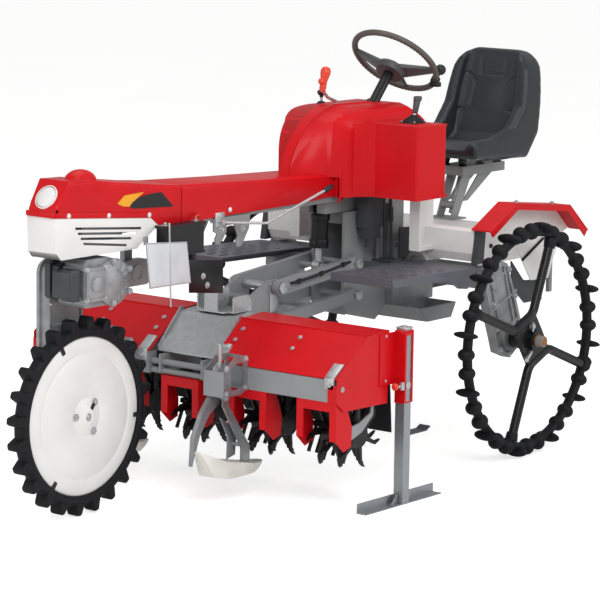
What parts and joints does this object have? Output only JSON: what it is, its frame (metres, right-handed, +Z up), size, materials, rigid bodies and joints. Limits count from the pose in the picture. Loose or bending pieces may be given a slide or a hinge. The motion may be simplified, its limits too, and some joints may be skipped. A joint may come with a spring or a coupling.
{
  "type": "riding paddy weeder",
  "caption": "Three-wheeled riding cultivator with a steered front wheel, paddled rear wheels and a row-crop weeding unit lifted on parallel arms between the axles.",
  "frame": {"origin": "on the ground, at the middle of the machine's length and width", "axes": "+X forward along the machine, +Y to its left, +Z up"},
  "size_m": [2.816, 1.47, 1.5491],
  "materials": {
    "red_paint": "gloss enamel",
    "white_paint": "gloss enamel",
    "grey_paint": "satin enamel",
    "black_paint": "satin enamel",
    "dark_steel": "satin enamel",
    "white_plastic": "moulded",
    "dark_plastic": "moulded",
    "black_vinyl": "grained vinyl",
    "cast_aluminium": "as cast",
    "zinc_steel": "galvanised",
    "bright_steel": "ground",
    "black_rubber": "moulded",
    "tyre_rubber": "moulded"
  },
  "bodies": {
    "chassis": {"main_frame": "dark_steel", "engine_plate": "dark_steel", "engine": "dark_steel", "hood": "red_paint", "hood_skirt": "white_plastic", "beam_cover": "red_paint", "cowl": "red_paint", "lever_box": "red_paint", "steering_column": "dark_steel", "seat": "black_vinyl", "seat_frame": "grey_paint", "rear_gear_case": "cast_aluminium", "final_drives": "cast_aluminium", "mudguards": "red_paint", "rear_body": "white_plastic", "inner_fenders": "white_plastic", "body_brackets": "dark_steel", "rear_hitch": "dark_steel", "belly_guard": "zinc_steel", "battery": "dark_plastic", "drive_box": "cast_aluminium", "notice_plate": "zinc_steel", "lever_rods": "bright_steel", "lever_grips": "dark_plastic", "lift_controls": "zinc_steel", "steps": "grey_paint", "lift_bracket": "grey_paint", "cylinder_mount": "grey_paint"},
    "steering_leg": {"steering_leg_case": "grey_paint", "swivel_gear_head": "cast_aluminium", "swivel_drive_cover": "dark_steel"},
    "front_wheel": {"front_tyre": "tyre_rubber", "front_wheel_disc": "white_paint"},
    "rear_wheel_left": {"rear_tyre_left": "tyre_rubber", "rear_spider_left": "black_paint"},
    "rear_wheel_right": {"rear_tyre_right": "tyre_rubber", "rear_spider_right": "black_paint"},
    "steering_wheel": {"steering_wheel": "dark_plastic"},
    "upper_arms": {"upper_lift_arms": "grey_paint"},
    "lower_arms": {"lower_lift_arms": "grey_paint"},
    "cylinder_barrel": {"lift_cylinder": "black_rubber"},
    "cylinder_rod": {"lift_rod": "bright_steel"},
    "weeder": {"weeder_beam": "zinc_steel", "weeder_mast": "grey_paint", "weeder_covers": "red_paint", "end_panels": "red_paint", "centre_plate": "zinc_steel", "mast_post": "zinc_steel", "rear_skids": "zinc_steel", "rotor_guards": "red_paint", "rotor_cases": "zinc_steel", "row_rake": "dark_steel", "rear_flap": "black_rubber", "flap_frame": "zinc_steel", "skid_mounts": "zinc_steel", "skid_floats": "white_plastic", "stand_sleeves": "red_paint"},
    "rotors": {"rotors": "dark_steel"},
    "stand_left": {"stand_left": "zinc_steel"},
    "stand_right": {"stand_right": "zinc_steel"}
  },
  "joints": [
    {"name": "steer", "type": "hinge", "parent": "chassis", "child": "steering_leg", "pos_m": [1.07, 0, 0.9], "axis": [0, 0, 1], "range_deg": [-35, 35]},
    {"name": "front_wheel_spin", "type": "hinge", "parent": "steering_leg", "child": "front_wheel", "pos_m": [1.07, 0, 0.338], "axis": [0, 1, 0], "continuous": true},
    {"name": "rear_left_spin", "type": "hinge", "parent": "chassis", "child": "rear_wheel_left", "pos_m": [-0.717, 0.6, 0.435], "axis": [0, 1, 0], "continuous": true},
    {"name": "rear_right_spin", "type": "hinge", "parent": "chassis", "child": "rear_wheel_right", "pos_m": [-0.717, -0.6, 0.435], "axis": [0, 1, 0], "continuous": true},
    {"name": "steering_wheel_turn", "type": "hinge", "parent": "chassis", "child": "steering_wheel", "pos_m": [-0.646, 0, 1.398], "axis": [-0.6691, 0, 0.7431], "range_deg": [-210, 210]},
    {"name": "lift", "type": "hinge", "parent": "chassis", "child": "upper_arms", "pos_m": [-0.312, 0, 0.712], "axis": [0, -1, 0], "range_deg": [0, 25]},
    {"name": "lower_arm_swing", "type": "hinge", "parent": "chassis", "child": "lower_arms", "pos_m": [-0.312, 0, 0.595], "axis": [0, -1, 0], "range_deg": [0, 25]},
    {"name": "weeder_level", "type": "hinge", "parent": "upper_arms", "child": "weeder", "pos_m": [0.133, 0, 0.672], "axis": [0, -1, 0], "range_deg": [-25, 0]},
    {"name": "cylinder_swing", "type": "hinge", "parent": "chassis", "child": "cylinder_barrel", "pos_m": [-0.227, 0, 0.915], "axis": [0, -1, 0], "range_deg": [-3, 3]},
    {"name": "rod_slide", "type": "slide", "parent": "cylinder_barrel", "child": "cylinder_rod", "axis": [0.0472, 0, -0.9989], "range_m": [-0.045, 0]},
    {"name": "rotor_spin", "type": "hinge", "parent": "weeder", "child": "rotors", "pos_m": [0.406, 0, 0.262], "axis": [0, 1, 0], "continuous": true},
    {"name": "stand_left_slide", "type": "slide", "parent": "weeder", "child": "stand_left", "axis": [0, 0, 1], "range_m": [0, 0.25]},
    {"name": "stand_right_slide", "type": "slide", "parent": "weeder", "child": "stand_right", "axis": [0, 0, 1], "range_m": [0, 0.25]}
  ],
  "couplings": [
    {"joint": "steering_wheel_turn", "follows": "steer", "ratio": 6},
    {"joint": "lower_arm_swing", "follows": "lift", "ratio": 1},
    {"joint": "weeder_level", "follows": "lift", "ratio": -1},
    {"joint": "cylinder_swing", "follows": "lift", "ratio": -0.04525},
    {"joint": "rod_slide", "follows": "lift", "m_per_rad": -0.09423}
  ]
}
